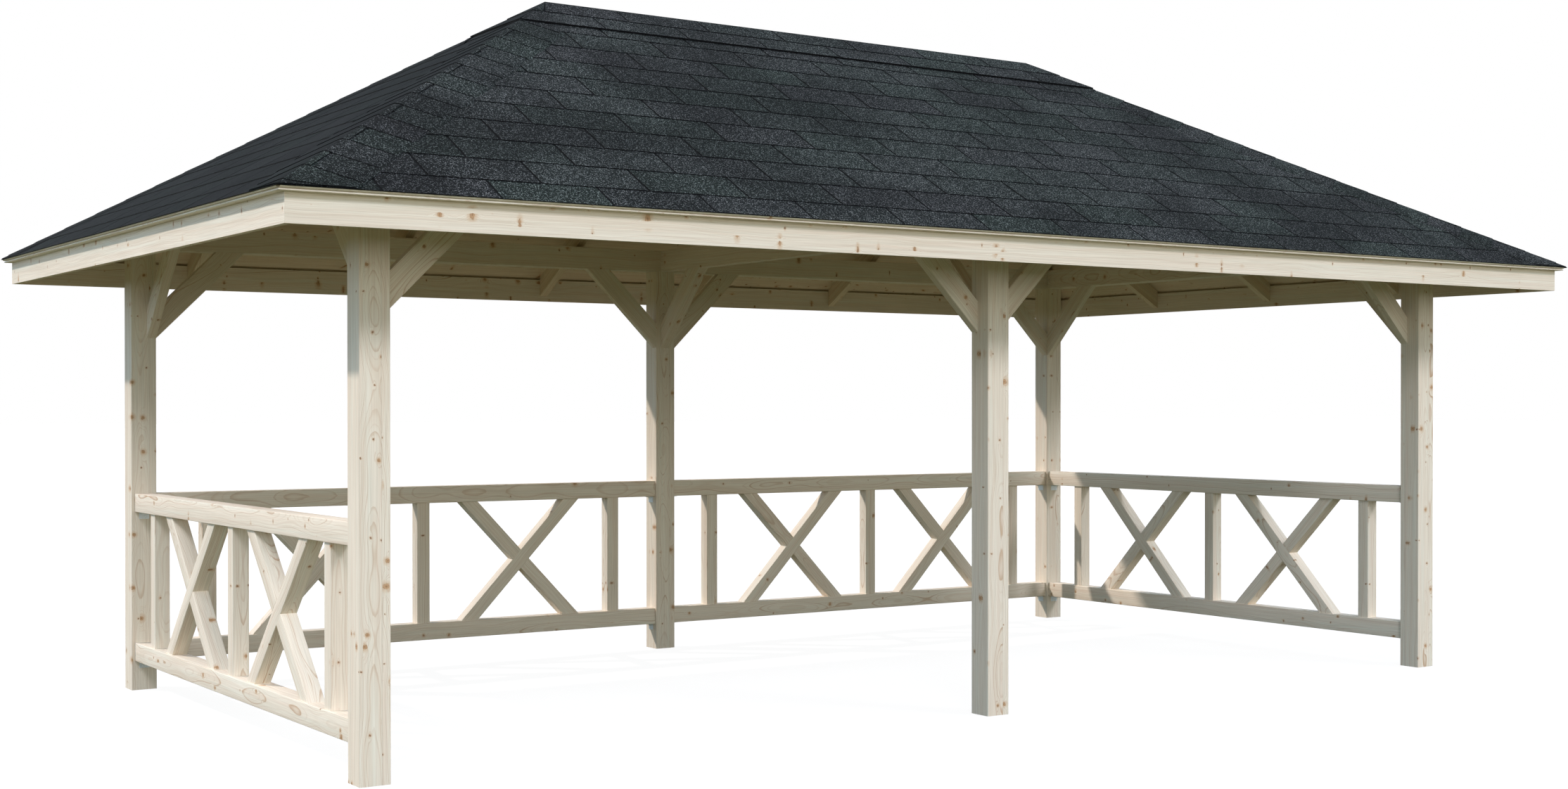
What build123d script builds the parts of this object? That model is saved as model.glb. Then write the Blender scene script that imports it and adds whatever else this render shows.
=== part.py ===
from build123d import *
import math
import os

# An open garden gazebo of squared softwood timber: six posts, plates, knee braces, railings on
# three sides, and a hipped roof of rafters, boards and shingles with a moulded eaves edge.
# Millimetres, +Z up, origin at ground level under the middle of the roof, front towards -Y.

# Driving dimensions: the frame
post_side = 120
post_height = 2172
post_pitch = 2929
depth_pitch = 3064
edge_round = 3
plate_width = 120
plate_height = 120
tie_width = 58
tie_height = 120

# Driving dimensions: the knee braces, which lie flush with the inner faces of the posts
brace_thick = 45
brace_depth = 100
brace_drop = 439

# Driving dimensions: the railings
rail_height = 90
rail_depth = 90
rail_lower_z = 143
rail_upper_z = 877
baluster_side = 70
baluster_gap_back = 232
baluster_gap_end = 246
cross_side = 70
cross_gap = 182

# Driving dimensions: the angle brackets under the rail ends
bracket_width = 48
bracket_leg = 35
bracket_thick = 3
bracket_bend = 5
screw_hole = 5
screw_setback = 21

# Driving dimensions: the roof's timber
overhang_front = 451
overhang_end = 428
fascia_height = 124
fascia_thick = 27
heel_height = 95
roof_rise = 1146
ridge_length = 2944
rafter_width = 45
rafter_depth = 95
rafter_pitch = 1014
jack_offset = 995
hip_width = 58
hip_drop = 129
ridge_width = 58
ridge_drop = 150

# Driving dimensions: the covering, with every thickness measured plumb
board_thick = 22
first_exposure = 157
exposure = 203
course_base = 3
course_butt = 4
cover_overhang = 43
hip_cap_base = 2
hip_cap_butt = 3
hip_cap_half = 218
hip_cap_first = 53
hip_cap_exposure = 176
hip_cap_lap = 170
ridge_cap_base = 6
ridge_cap_butt = 2.5
ridge_cap_fall = 153
ridge_course_fall = 77

# Driving dimensions: the eaves moulding
moulding_drop = 17
moulding_reach = 38
moulding_corner_cut = 10
bead_radius = 3.25
bead_setback = 7
groove_height = 2.75
groove_depth = 3
nose_depth = 5

# How far the solids that trim others reach past them
trim_margin = 500

# Worked out from the driving dimensions
half_post = post_side / 2
row_y = depth_pitch / 2
inner_x = post_pitch - half_post
inner_y = row_y - half_post
frame_x = post_pitch + half_post
frame_y = row_y + half_post
half_x = frame_x + overhang_end
half_y = frame_y + overhang_front
ridge_half = ridge_length / 2
plate_top = post_height + plate_height
hip_run_x = half_x - ridge_half
hip_run = math.hypot(hip_run_x, half_y)
slope_front = roof_rise / half_y
slope_end = roof_rise / hip_run_x
eaves_z = plate_top + heel_height - overhang_front * slope_front
apex_z = eaves_z + roof_rise
inside_x = half_x - fascia_thick
inside_y = half_y - fascia_thick
cover_x = half_x + cover_overhang
cover_y = half_y + cover_overhang
cover_thick = course_base + course_butt
high_z = apex_z + trim_margin
low_z = eaves_z - trim_margin

parts = {}


def timber(x0, x1, y0, y1, z0, z1):
    """A squared timber between two opposite corners, its four long edges rounded over."""
    size = [x1 - x0, y1 - y0, z1 - z0]
    along = size.index(max(size))
    body = Box(*size)
    long_edges = body.edges().filter_by([Axis.X, Axis.Y, Axis.Z][along])
    body = fillet(long_edges, edge_round)
    return Pos((x0 + x1) / 2, (y0 + y1) / 2, (z0 + z1) / 2) * body


def board(x0, x1, y0, y1, z0, z1):
    """A square-edged board between two opposite corners."""
    return Pos((x0 + x1) / 2, (y0 + y1) / 2, (z0 + z1) / 2) * Box(x1 - x0, y1 - y0, z1 - z0)


def plan_prism(corners, z0, z1):
    """An upright prism over a plan polygon."""
    outline = make_face(Polyline(*[(x, y, z0) for x, y in corners], close=True))
    return extrude(outline, amount=z1 - z0, dir=(0, 0, 1))


def swept_along_x(profile, length):
    """A profile of (y, z) points carried along X, centred on the origin."""
    outline = make_face(Polyline(*[(-length / 2, y, z) for y, z in profile], close=True))
    return extrude(outline, amount=length, dir=(1, 0, 0))


def swept_along_y(profile, length):
    """A profile of (x, z) points carried along Y, centred on the origin."""
    outline = make_face(Polyline(*[(x, -length / 2, z) for x, z in profile], close=True))
    return extrude(outline, amount=length, dir=(0, 1, 0))


def turned(solid):
    """The solid turned half a turn about the vertical axis: front to back and left to right."""
    return Rot(0, 0, 180) * solid


# Posts
for row, y in (("front", -row_y), ("back", row_y)):
    for place, x in (("left", -post_pitch), ("middle", 0), ("right", post_pitch)):
        parts[f"post_{row}_{place}"] = timber(x - half_post, x + half_post,
                                              y - half_post, y + half_post, 0, post_height)

# Plates on top of the posts, flush with their inner faces, and the tie beam between them
for name, side in (("plate_front", -1), ("plate_back", 1)):
    y_in = side * inner_y
    y_out = side * (inner_y + plate_width)
    parts[name] = timber(-frame_x, frame_x, min(y_in, y_out), max(y_in, y_out),
                         post_height, plate_top)
for name, side in (("plate_left", -1), ("plate_right", 1)):
    x_in = side * inner_x
    x_out = side * (inner_x + plate_width)
    parts[name] = timber(min(x_in, x_out), max(x_in, x_out), -inner_y, inner_y,
                         post_height, plate_top)
parts["tie_beam"] = timber(-tie_width / 2, tie_width / 2, -inner_y, inner_y,
                           post_height, post_height + tie_height)

# Knee braces: one outline, with a plumb cut against the post and a level cut under the plate
brace_cut = brace_depth * math.sqrt(2)
brace_toe = post_height - brace_drop
brace_outline = [(0, brace_toe), (brace_drop, post_height),
                 (brace_drop - brace_cut, post_height), (0, brace_toe + brace_cut)]


def brace(x, y, heading, width):
    """A brace rising from (x, y) towards a heading in degrees, its thickness centred on it."""
    solid = swept_along_y(brace_outline, width)
    return Pos(x, y, 0) * Rot(0, 0, heading) * solid


def row_braces(y):
    """The four braces of a long side, all in the plane of the given y."""
    starts = [(-inner_x, 0), (-half_post, 180), (half_post, 0), (inner_x, 180)]
    return [brace(x, y, heading, brace_thick) for x, heading in starts]


brace_line_x = inner_x + brace_thick / 2
brace_line_y = inner_y + brace_thick / 2
parts["braces_front"] = row_braces(-brace_line_y)
parts["braces_back"] = row_braces(brace_line_y)
for name, x in (("braces_left", -brace_line_x), ("braces_right", brace_line_x)):
    parts[name] = [brace(x, -inner_y, 90, brace_thick), brace(x, inner_y, -90, brace_thick)]
parts["braces_tie"] = [brace(0, -inner_y, 90, tie_width), brace(0, inner_y, -90, tie_width)]


def crossed_bars(x0, x1, z0, z1):
    """Two bars halved over each other between two rails, corner to corner of the field.

    The level cut c of a bar of side w that climbs h over a field s wide follows from
    w squared times ((s - c) squared + h squared) = c squared times h squared.
    """
    span = x1 - x0
    climb = z1 - z0
    side2 = cross_side ** 2
    lead = climb ** 2 - side2
    cut = (math.sqrt((side2 * span) ** 2 + lead * side2 * (span ** 2 + climb ** 2))
           - side2 * span) / lead
    rising = [(x0, z0), (x0 + cut, z0), (x1, z1), (x1 - cut, z1)]
    falling = [(x0, z1), (x0 + cut, z1), (x1, z0), (x1 - cut, z0)]
    return [swept_along_y(bar, cross_side) for bar in (rising, falling)]


def railing(length, end_gap):
    """A panel centred on the origin along X: two rails, three balusters and two crosses."""
    half = length / 2
    low_top = rail_lower_z + rail_height
    panel = timber(-half, half, -rail_depth / 2, rail_depth / 2, rail_lower_z, low_top)
    panel += timber(-half, half, -rail_depth / 2, rail_depth / 2,
                    rail_upper_z, rail_upper_z + rail_height)
    outer = half - end_gap - baluster_side / 2
    for x in (-outer, 0, outer):
        panel += board(x - baluster_side / 2, x + baluster_side / 2,
                       -baluster_side / 2, baluster_side / 2, low_top, rail_upper_z)
    near = baluster_side / 2 + cross_gap
    far = outer - near
    for x0, x1 in ((-far, -near), (near, far)):
        for bar in crossed_bars(x0, x1, low_top, rail_upper_z):
            panel += bar
    return panel


bay_clear = post_pitch - post_side
end_clear = depth_pitch - post_side
parts["railing_back_left"] = Pos(-post_pitch / 2, row_y, 0) * railing(bay_clear, baluster_gap_back)
parts["railing_back_right"] = Pos(post_pitch / 2, row_y, 0) * railing(bay_clear, baluster_gap_back)
end_railing = Rot(0, 0, 90) * railing(end_clear, baluster_gap_end)
parts["railing_left"] = Pos(-post_pitch, 0, 0) * end_railing
parts["railing_right"] = Pos(post_pitch, 0, 0) * end_railing


# Angle brackets: one leg against the post and one under the rail, at every rail end
def angle_bracket():
    """A strip bent square round a small radius, with a screw hole through each leg."""
    section = make_face(Polyline((bracket_leg, 0), (0, 0), (0, -bracket_leg),
                                 (bracket_thick, -bracket_leg), (bracket_thick, -bracket_thick),
                                 (bracket_leg, -bracket_thick), close=True))
    inner_corner = section.vertices().sort_by_distance((bracket_thick, -bracket_thick, 0))[0]
    section = fillet(inner_corner, bracket_bend - bracket_thick)
    outer_corner = section.vertices().sort_by_distance((0, 0, 0))[0]
    section = fillet(outer_corner, bracket_bend)
    strip = extrude(Plane.XZ * section, amount=bracket_width / 2, both=True)
    drill = Cylinder(screw_hole / 2, 3 * bracket_thick)
    return strip - Pos(screw_setback, 0, 0) * drill - Pos(0, 0, -screw_setback) * Rot(0, 90, 0) * drill


bracket = angle_bracket()
rail_ends = []
for x in (-inner_x, half_post):
    rail_ends.append((x, row_y, 0))
for x in (-half_post, inner_x):
    rail_ends.append((x, row_y, 180))
for x in (-post_pitch, post_pitch):
    rail_ends.append((x, -inner_y, 90))
    rail_ends.append((x, inner_y, -90))
parts["rail_brackets"] = [Pos(x, y, z) * Rot(0, 0, heading) * bracket
                          for x, y, heading in rail_ends for z in (rail_lower_z, rail_upper_z)]


# Roof surfaces: the underside of the boards is two pairs of planes that meet at hips and ridge
def hipped_solid(grow, lift, base):
    """The space under the four roof planes, lifted plumb, with the eaves grown outwards."""
    out_x = half_x + grow
    out_y = half_y + grow
    across = [(-out_y, eaves_z - grow * slope_front + lift), (0, apex_z + lift),
              (out_y, eaves_z - grow * slope_front + lift), (out_y, base), (-out_y, base)]
    along = [(-out_x, eaves_z - grow * slope_end + lift), (-ridge_half, apex_z + lift),
             (ridge_half, apex_z + lift), (out_x, eaves_z - grow * slope_end + lift),
             (out_x, base), (-out_x, base)]
    return swept_along_x(across, 2 * out_x) & swept_along_y(along, 2 * out_y)


def hip_x(y):
    """Where the hip line stands, in plan, at a distance y from the middle."""
    return ridge_half + abs(y) * hip_run_x / half_y


def front_field(edge, inset, top):
    """Plan of the front slope out to y = -edge, held back from the hips and the ridge."""
    back = inset * hip_run / half_y
    return [(-hip_x(edge) + back, -edge), (hip_x(edge) - back, -edge),
            (hip_x(top) - back, -top), (-hip_x(top) + back, -top)]


def end_field(edge, inset):
    """Plan of the right-hand slope out to x = edge, held back from the hips."""
    back = inset * hip_run / hip_run_x
    reach = (edge - ridge_half) * half_y / hip_run_x - back
    tip = ridge_half + inset * hip_run / half_y
    return [(edge, -reach), (edge, reach), (tip, 0)]


# Ridge beam, its top bevelled to the slopes
roof_space = hipped_solid(0, 0, 0)
ridge_blank = board(-ridge_half, ridge_half, -ridge_width / 2, ridge_width / 2,
                    apex_z - ridge_drop, apex_z)
parts["ridge_beam"] = ridge_blank & roof_space

# Rafters, birdsmouthed over the plates
plumb_front = rafter_depth * math.hypot(1, slope_front)
plumb_end = rafter_depth * math.hypot(1, slope_end)


def plate_seat():
    """The ring that the plates fill, which every rafter is notched over."""
    outer = Box(2 * frame_x, 2 * frame_y, plate_height)
    inner = Box(2 * (frame_x - plate_width), 2 * (frame_y - plate_width), plate_height)
    return Pos(0, 0, post_height + plate_height / 2) * (outer - inner)


seat = plate_seat()
inner_edge = ridge_width / 2


def front_rafter(x, field):
    """A rafter of the front slope at x, cut to the field between fascia, hips and ridge."""
    profile = [(-inside_y, eaves_z + fascia_thick * slope_front), (0, apex_z),
               (0, apex_z - plumb_front),
               (-inside_y, eaves_z + fascia_thick * slope_front - plumb_front)]
    blank = Pos(x, 0, 0) * swept_along_x(profile, rafter_width)
    return (blank & field & roof_space) - seat


def end_rafter(y, field):
    """A rafter of the right-hand slope at y, cut to the field between fascia and hips."""
    profile = [(inside_x, eaves_z + fascia_thick * slope_end), (ridge_half, apex_z),
               (ridge_half, apex_z - plumb_end),
               (inside_x, eaves_z + fascia_thick * slope_end - plumb_end)]
    blank = Pos(0, y, 0) * swept_along_y(profile, rafter_width) & roof_space
    if field is not None:
        blank = blank & field
    return blank - seat


front_space = plan_prism(front_field(inside_y, hip_width / 2, inner_edge), low_z, high_z)
end_space = plan_prism(end_field(inside_x, hip_width / 2), low_z, high_z)
front_places = [side * (step + 0.5) * rafter_pitch for side in (-1, 1) for step in range(3)]
front_rafters = [front_rafter(x, front_space) for x in front_places]
end_middle = end_rafter(0, None)
end_rafters = [end_middle] + [end_rafter(y, end_space) for y in (-jack_offset, jack_offset)]
parts["rafters_front"] = front_rafters
parts["rafters_back"] = [turned(rafter) for rafter in front_rafters]
parts["rafters_right"] = end_rafters
parts["rafters_left"] = [turned(rafter) for rafter in end_rafters]


# Hip rafters, backed to both slopes and cut round the ridge beam and the end rafters
def hip_rafter():
    """The hip rafter at the front right corner."""
    angle = math.degrees(math.atan2(-half_y, hip_run_x))
    start = -hip_width
    fall = roof_rise / hip_run
    far = hip_run + hip_width
    profile = [(start, apex_z - start * fall), (far, apex_z - far * fall),
               (far, apex_z - far * fall - hip_drop), (start, apex_z - start * fall - hip_drop)]
    blank = Pos(ridge_half, 0, 0) * Rot(0, 0, angle) * swept_along_y(profile, hip_width)
    corner = plan_prism([(0, 0), (inside_x, 0), (inside_x, -inside_y), (0, -inside_y)],
                        low_z, high_z)
    return (blank & corner & roof_space) - seat - ridge_blank - end_middle


front_right_hip = hip_rafter()
front_left_hip = mirror(front_right_hip, Plane.YZ)
parts["hip_rafters"] = [front_right_hip, front_left_hip,
                        turned(front_right_hip), turned(front_left_hip)]


# Fascia boards, mitred at the corners
def mitre_trim(outer, along_front):
    """Plan of one eaves run, from corner to corner, out to a distance past the fascia."""
    x_out = half_x + outer
    y_out = half_y + outer
    depth = outer + 2 * fascia_thick
    if along_front:
        return [(-x_out, -y_out), (x_out, -y_out), (x_out - depth, -y_out + depth),
                (-x_out + depth, -y_out + depth)]
    return [(x_out, -y_out), (x_out, y_out), (x_out - depth, y_out - depth),
            (x_out - depth, -y_out + depth)]


def front_run(section, outer):
    """A section of (outward, up) from the eaves line, carried along the front, ends mitred."""
    plane = Plane(origin=(half_x + outer, -half_y, eaves_z), x_dir=(0, -1, 0), z_dir=(-1, 0, 0))
    blank = extrude(plane * section, amount=2 * (half_x + outer))
    return blank & plan_prism(mitre_trim(outer, True), 0, high_z)


def end_run(section, outer):
    """The same section carried along the right-hand eaves."""
    plane = Plane(origin=(half_x, half_y + outer, eaves_z), x_dir=(1, 0, 0), z_dir=(0, -1, 0))
    blank = extrude(plane * section, amount=2 * (half_y + outer))
    return blank & plan_prism(mitre_trim(outer, False), 0, high_z)


fascia_section = make_face(Polyline((0, 0), (0, -fascia_height), (-fascia_thick, -fascia_height),
                                    (-fascia_thick, 0), close=True))
parts["fascia_front"] = front_run(fascia_section, 0)
parts["fascia_back"] = turned(parts["fascia_front"])
parts["fascia_right"] = end_run(fascia_section, 0)
parts["fascia_left"] = turned(parts["fascia_right"])


# Eaves moulding: a thin round bead below, a groove, and a full round nose above, mitred at the
# corners, where the sharp tip of the mitre is cut off
def moulding_section():
    """The moulding's section, from its flat foot up into the roof boards' thickness."""
    foot = -moulding_drop
    bead_x = moulding_reach - bead_setback - bead_radius
    bead_top = foot + 2 * bead_radius
    groove_x = bead_x - groove_depth
    nose_foot = bead_top + groove_height
    nose_x = moulding_reach - nose_depth
    nose_top = nose_foot + 2 * nose_depth
    top = 2 * board_thick
    outline = [
        Line((0, foot), (bead_x, foot)),
        ThreePointArc((bead_x, foot), (bead_x + bead_radius, foot + bead_radius),
                      (bead_x, bead_top)),
        Line((bead_x, bead_top), (groove_x, bead_top)),
        Line((groove_x, bead_top), (groove_x, nose_foot)),
        Line((groove_x, nose_foot), (nose_x, nose_foot)),
        ThreePointArc((nose_x, nose_foot), (moulding_reach, nose_foot + nose_depth),
                      (nose_x, nose_top)),
        Line((nose_x, nose_top), (nose_x, top)),
        Line((nose_x, top), (0, top)),
        Line((0, top), (0, foot)),
    ]
    return make_face(outline)


def clipped_eaves(reach, cut):
    """Plan of the eaves grown by a reach, each corner cut off square to its diagonal."""
    x = half_x + reach
    y = half_y + reach
    return [(x, -y + cut), (x, y - cut), (x - cut, y), (-x + cut, y),
            (-x, y - cut), (-x, -y + cut), (-x + cut, -y), (x - cut, -y)]


under_cover = hipped_solid(cover_overhang, board_thick, 0)
moulding_room = under_cover & plan_prism(clipped_eaves(moulding_reach, moulding_corner_cut),
                                         0, high_z)
parts["moulding_front"] = front_run(moulding_section(), moulding_reach) & moulding_room
parts["moulding_back"] = turned(parts["moulding_front"])
parts["moulding_right"] = end_run(moulding_section(), moulding_reach) & moulding_room
parts["moulding_left"] = turned(parts["moulding_right"])


# Roof boards, mitred along the hips and laid on the rafters
def front_slab(edge, lift, thick):
    """A slab on the front slope, out to y = -edge, between two plumb offsets."""
    low = eaves_z + (half_y - edge) * slope_front + lift
    across = [(-edge, low), (0, apex_z + lift), (0, apex_z + lift + thick), (-edge, low + thick)]
    blank = swept_along_x(across, 2 * hip_x(edge))
    return blank & plan_prism(front_field(edge, 0, 0), 0, high_z)


def end_slab(edge, lift, thick):
    """A slab on the right-hand slope, out to x = edge, between two plumb offsets."""
    low = eaves_z + (half_x - edge) * slope_end + lift
    along = [(edge, low), (ridge_half, apex_z + lift), (ridge_half, apex_z + lift + thick),
             (edge, low + thick)]
    blank = swept_along_y(along, 4 * half_y)
    return blank & plan_prism(end_field(edge, 0), 0, high_z)


parts["roof_boards_front"] = front_slab(half_y, 0, board_thick)
parts["roof_boards_back"] = turned(parts["roof_boards_front"])
parts["roof_boards_right"] = end_slab(half_x, 0, board_thick)
parts["roof_boards_left"] = turned(parts["roof_boards_right"])


# Shingle covering: courses that overlap, each thickest at its lower edge
def course_levels():
    """Heights, above the front edge of the covering, at which one course meets the next."""
    climb = math.sin(math.atan(slope_front))
    full = apex_z - eaves_z + cover_overhang * slope_front
    count = math.ceil((full / climb - first_exposure) / exposure)
    return [climb * (first_exposure + exposure * course) for course in range(count)] + [full]


def course_line(overhang, slope):
    """The stepped upper line of a slope: (distance in from its edge, z) from eaves to ridge."""
    edge_z = eaves_z - overhang * slope
    front_edge_z = eaves_z - cover_overhang * slope_front
    base = board_thick + course_base
    points = [(0, edge_z + base + course_butt)]
    for level in course_levels():
        z = front_edge_z + level
        points.append(((z - edge_z) / slope, z + base))
        if z < apex_z - course_butt:
            points.append(((z - edge_z) / slope, z + base + course_butt))
    return points


front_low = eaves_z - cover_overhang * slope_front
end_low = eaves_z - cover_overhang * slope_end
front_steps = [(up - cover_y, z) for up, z in course_line(cover_overhang, slope_front)]
front_cover = [(-cover_y, front_low + board_thick)] + front_steps + [(0, apex_z + board_thick)]
end_steps = [(cover_x - up, z) for up, z in course_line(cover_overhang, slope_end)]
end_cover = [(cover_x, end_low + board_thick)] + end_steps + [(ridge_half, apex_z + board_thick)]
front_trim = plan_prism(front_field(cover_y, 0, 0), 0, high_z)
end_trim = plan_prism(end_field(cover_x, 0), 0, high_z)
parts["shingles_front"] = swept_along_x(front_cover, 4 * half_x) & front_trim
parts["shingles_back"] = turned(parts["shingles_front"])
parts["shingles_right"] = swept_along_y(end_cover, 4 * half_y) & end_trim
parts["shingles_left"] = turned(parts["shingles_right"])

# The lid over the ridge: two lapped courses of cap shingles on each slope
cover_top = board_thick + cover_thick
cap_edge = ridge_cap_fall / slope_front


def lid_line(slope, middle):
    """One side of the lid from its rim up to the ridge: (distance from the middle, z)."""
    top = apex_z + cover_top + ridge_cap_base
    rim = middle + ridge_cap_fall / slope
    step = middle + ridge_course_fall / slope
    return [(rim, top - ridge_cap_fall + ridge_cap_butt), (step, top - ridge_course_fall),
            (step, top - ridge_course_fall + ridge_cap_butt), (middle, top)]


def lid_outline(slope, middle):
    """The lid's whole section, down to the ground: both sides, and the flat base between."""
    side = lid_line(slope, middle)
    other = [(-out, z) for out, z in reversed(side)]
    if middle == 0:
        other = other[1:]
    rim = side[0][0]
    return side + other + [(-rim, 0), (rim, 0)]


lid_outer = swept_along_x(lid_outline(slope_front, 0), 2 * hip_x(cap_edge)) \
    & swept_along_y(lid_outline(slope_end, ridge_half), 2 * cap_edge)
parts["ridge_cap"] = lid_outer - hipped_solid(cover_overhang, cover_top, -1)

# Hip caps folded over the four hips, each lapping the one below and thickest at its lower end;
# the uppermost run up to the lid
caps_start = cap_edge * hip_run / half_y - hip_cap_lap


def hip_cap_outline():
    """The caps of one hip in its upright plane: (level distance from the ridge end, z)."""
    fall = roof_rise / hip_run
    foot_z = apex_z + cover_top
    head_z = foot_z + hip_cap_base
    level_share = hip_run / math.hypot(hip_run, roof_rise)
    first = hip_run * cover_y / half_y - (hip_cap_first - hip_cap_exposure) * level_share
    count = math.ceil((first - caps_start) / (hip_cap_exposure * level_share))
    butts = [first - cap * hip_cap_exposure * level_share for cap in range(count)]
    outline = [(caps_start, foot_z - caps_start * fall), (first, foot_z - first * fall)]
    for butt, head in zip(butts, butts[1:] + [caps_start]):
        outline.append((butt, head_z + hip_cap_butt - butt * fall))
        outline.append((head, head_z - head * fall))
    return outline


def hip_caps():
    """The front right hip's caps: the outline carried out square to the hip on both slopes."""
    outline = [(ridge_half + level * hip_run_x / hip_run, -level * half_y / hip_run, z)
               for level, z in hip_cap_outline()]
    strip = make_face(Polyline(*outline, close=True))
    front_way = Vector(-half_y - slope_front * roof_rise, -hip_run_x, -slope_front * hip_run_x)
    end_way = Vector(half_y, hip_run_x + slope_end * roof_rise, -slope_end * half_y)
    front_wing = extrude(strip, amount=hip_cap_half, dir=front_way.normalized())
    end_wing = extrude(strip, amount=hip_cap_half, dir=end_way.normalized())
    over_cover = Pos(0, 0, high_z / 2) * Box(2 * cover_x, 2 * cover_y, high_z)
    return ((front_wing + end_wing) & over_cover) - lid_outer


front_right_cap = hip_caps()
front_left_cap = mirror(front_right_cap, Plane.YZ)
parts["hip_caps"] = [front_right_cap, front_left_cap, turned(front_right_cap),
                     turned(front_left_cap)]


os.makedirs("parts", exist_ok=True)
for name, shape in parts.items():
    solids = shape if isinstance(shape, list) else [shape]
    flat = [solid for item in solids for solid in item.solids()]
    export_step(Compound(children=flat) if len(flat) > 1 else flat[0], f"parts/{name}.step")
    print(name, len(flat))
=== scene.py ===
import math
import bpy
import numpy as np
from mathutils import Euler, Matrix, Vector


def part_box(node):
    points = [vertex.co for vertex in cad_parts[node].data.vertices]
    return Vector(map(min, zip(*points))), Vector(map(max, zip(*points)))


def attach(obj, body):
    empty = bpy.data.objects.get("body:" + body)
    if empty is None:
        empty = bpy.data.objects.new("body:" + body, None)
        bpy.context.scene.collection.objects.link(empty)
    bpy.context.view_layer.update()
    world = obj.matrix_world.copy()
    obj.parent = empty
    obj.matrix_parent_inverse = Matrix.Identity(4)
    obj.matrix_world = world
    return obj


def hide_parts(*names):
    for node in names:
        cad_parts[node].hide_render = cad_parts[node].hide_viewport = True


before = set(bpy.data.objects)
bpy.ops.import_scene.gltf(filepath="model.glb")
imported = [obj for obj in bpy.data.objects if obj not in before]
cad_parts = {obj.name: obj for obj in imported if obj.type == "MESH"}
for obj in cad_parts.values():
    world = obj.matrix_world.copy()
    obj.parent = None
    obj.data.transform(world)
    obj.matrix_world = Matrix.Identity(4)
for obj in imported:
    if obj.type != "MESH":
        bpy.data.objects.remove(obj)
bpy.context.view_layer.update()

# Posts
# Six posts of spruce, 120 mm square, each glued up from four sticks so that it stays straight.
# They are planed, with softly broken edges, and stand on their sawn ends.

rng = np.random.default_rng(11)
pale_spruce = (0.806, 0.726, 0.610, 1)
late_spruce = (0.540, 0.360, 0.225, 1)
dark_years = (0.700, 0.560, 0.430, 1)
pink_wood = (0.730, 0.570, 0.450, 1)
white_wood = (0.800, 0.790, 0.690, 1)
knot_brown = (0.250, 0.120, 0.055, 1)
knot_pale = (0.520, 0.300, 0.150, 1)
knot_core = (0.200, 0.095, 0.042, 1)
knot_rim = (0.260, 0.125, 0.055, 1)
knot_halo = (0.600, 0.370, 0.190, 1)
glue_brown = (0.30, 0.20, 0.12, 1)
no_tint = (1, 1, 1, 1)
stick_split = (0.030, -0.026)
glue_line = 0.0005
trunk_length = 40.0


class Wire:
    """A value in a shader tree. Sums, products and the like add Math nodes to the tree."""

    def __init__(self, socket):
        self.tree = socket.id_data
        self.socket = socket

    def __add__(self, other):
        return calc("ADD", self, other)

    def __sub__(self, other):
        return calc("SUBTRACT", self, other)

    def __mul__(self, other):
        return calc("MULTIPLY", self, other)

    def __truediv__(self, other):
        return calc("DIVIDE", self, other)


def plug(socket, value):
    """Joins a socket to a wire, or sets its constant."""
    if isinstance(value, Wire):
        value.tree.links.new(value.socket, socket)
    else:
        socket.default_value = value


def feed(node, **values):
    """Plugs values into a node's sockets by name, spaces written as underscores."""
    for label, value in values.items():
        plug(node.inputs[label.replace("_", " ")], value)


def tree_of(*values):
    """The tree of the first wire among the values."""
    return next(value.tree for value in values if isinstance(value, Wire))


def new_node(tree, kind, **settings):
    """A new shader node with its settings."""
    node = tree.nodes.new("ShaderNode" + kind)
    for label, value in settings.items():
        setattr(node, label, value)
    return node


def worked_out(kind, *values, **settings):
    """The first output of a new node that gets the values in its first sockets."""
    node = new_node(tree_of(*values), kind, **settings)
    for socket, value in zip(node.inputs, values):
        plug(socket, value)
    return Wire(node.outputs[0])


def calc(operation, *values):
    """The result of a Math node."""
    return worked_out("Math", *values, operation=operation)


def vector_calc(operation, *values):
    """The vector result of a Vector Math node."""
    return worked_out("VectorMath", *values, operation=operation)


def ease(value, low, high, out_low=0.0, out_high=1.0):
    """A smooth step from out_low to out_high as the value goes from low to high."""
    return worked_out("MapRange", value, low, high, out_low, out_high,
                      interpolation_type="SMOOTHSTEP")


def split(vector):
    """The three parts of a vector."""
    node = new_node(vector.tree, "SeparateXYZ")
    feed(node, Vector=vector)
    return [Wire(socket) for socket in node.outputs]


def join(x, y, z):
    """A vector from three values."""
    return worked_out("CombineXYZ", x, y, z)


def noise(place, scale, detail=2.0, roughness=0.5, output="Fac"):
    """Fractal noise in space; place is a vector, or one value for noise along a line."""
    line = place.socket.type == "VALUE"
    node = new_node(place.tree, "TexNoise", noise_dimensions="1D" if line else "3D")
    plug(node.inputs["W" if line else "Vector"], place)
    feed(node, Scale=scale, Detail=detail, Roughness=roughness)
    return Wire(node.outputs[output])


def unrest(place, scale, detail, roughness):
    """Three noises in space or along a line, each from -0.5 to 0.5."""
    colour = noise(place, scale, detail, roughness, "Color")
    return split(vector_calc("SUBTRACT", colour, (0.5,) * 3))


def cells(place, scale, dimensions="3D"):
    """Cells round scattered points: three lots for each cell, and its point."""
    node = new_node(place.tree, "TexVoronoi", voronoi_dimensions=dimensions)
    feed(node, Vector=place, Scale=scale)
    lots, point = (Wire(node.outputs[label]) for label in ("Color", "Position"))
    return split(lots), point


def draw_lots(number):
    """Three lots from 0 to 1 for each whole number, and a fourth."""
    node = new_node(number.tree, "TexWhiteNoise", noise_dimensions="1D")
    feed(node, W=number)
    lots, fourth = (Wire(node.outputs[label]) for label in ("Color", "Value"))
    return *split(lots), fourth


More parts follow.
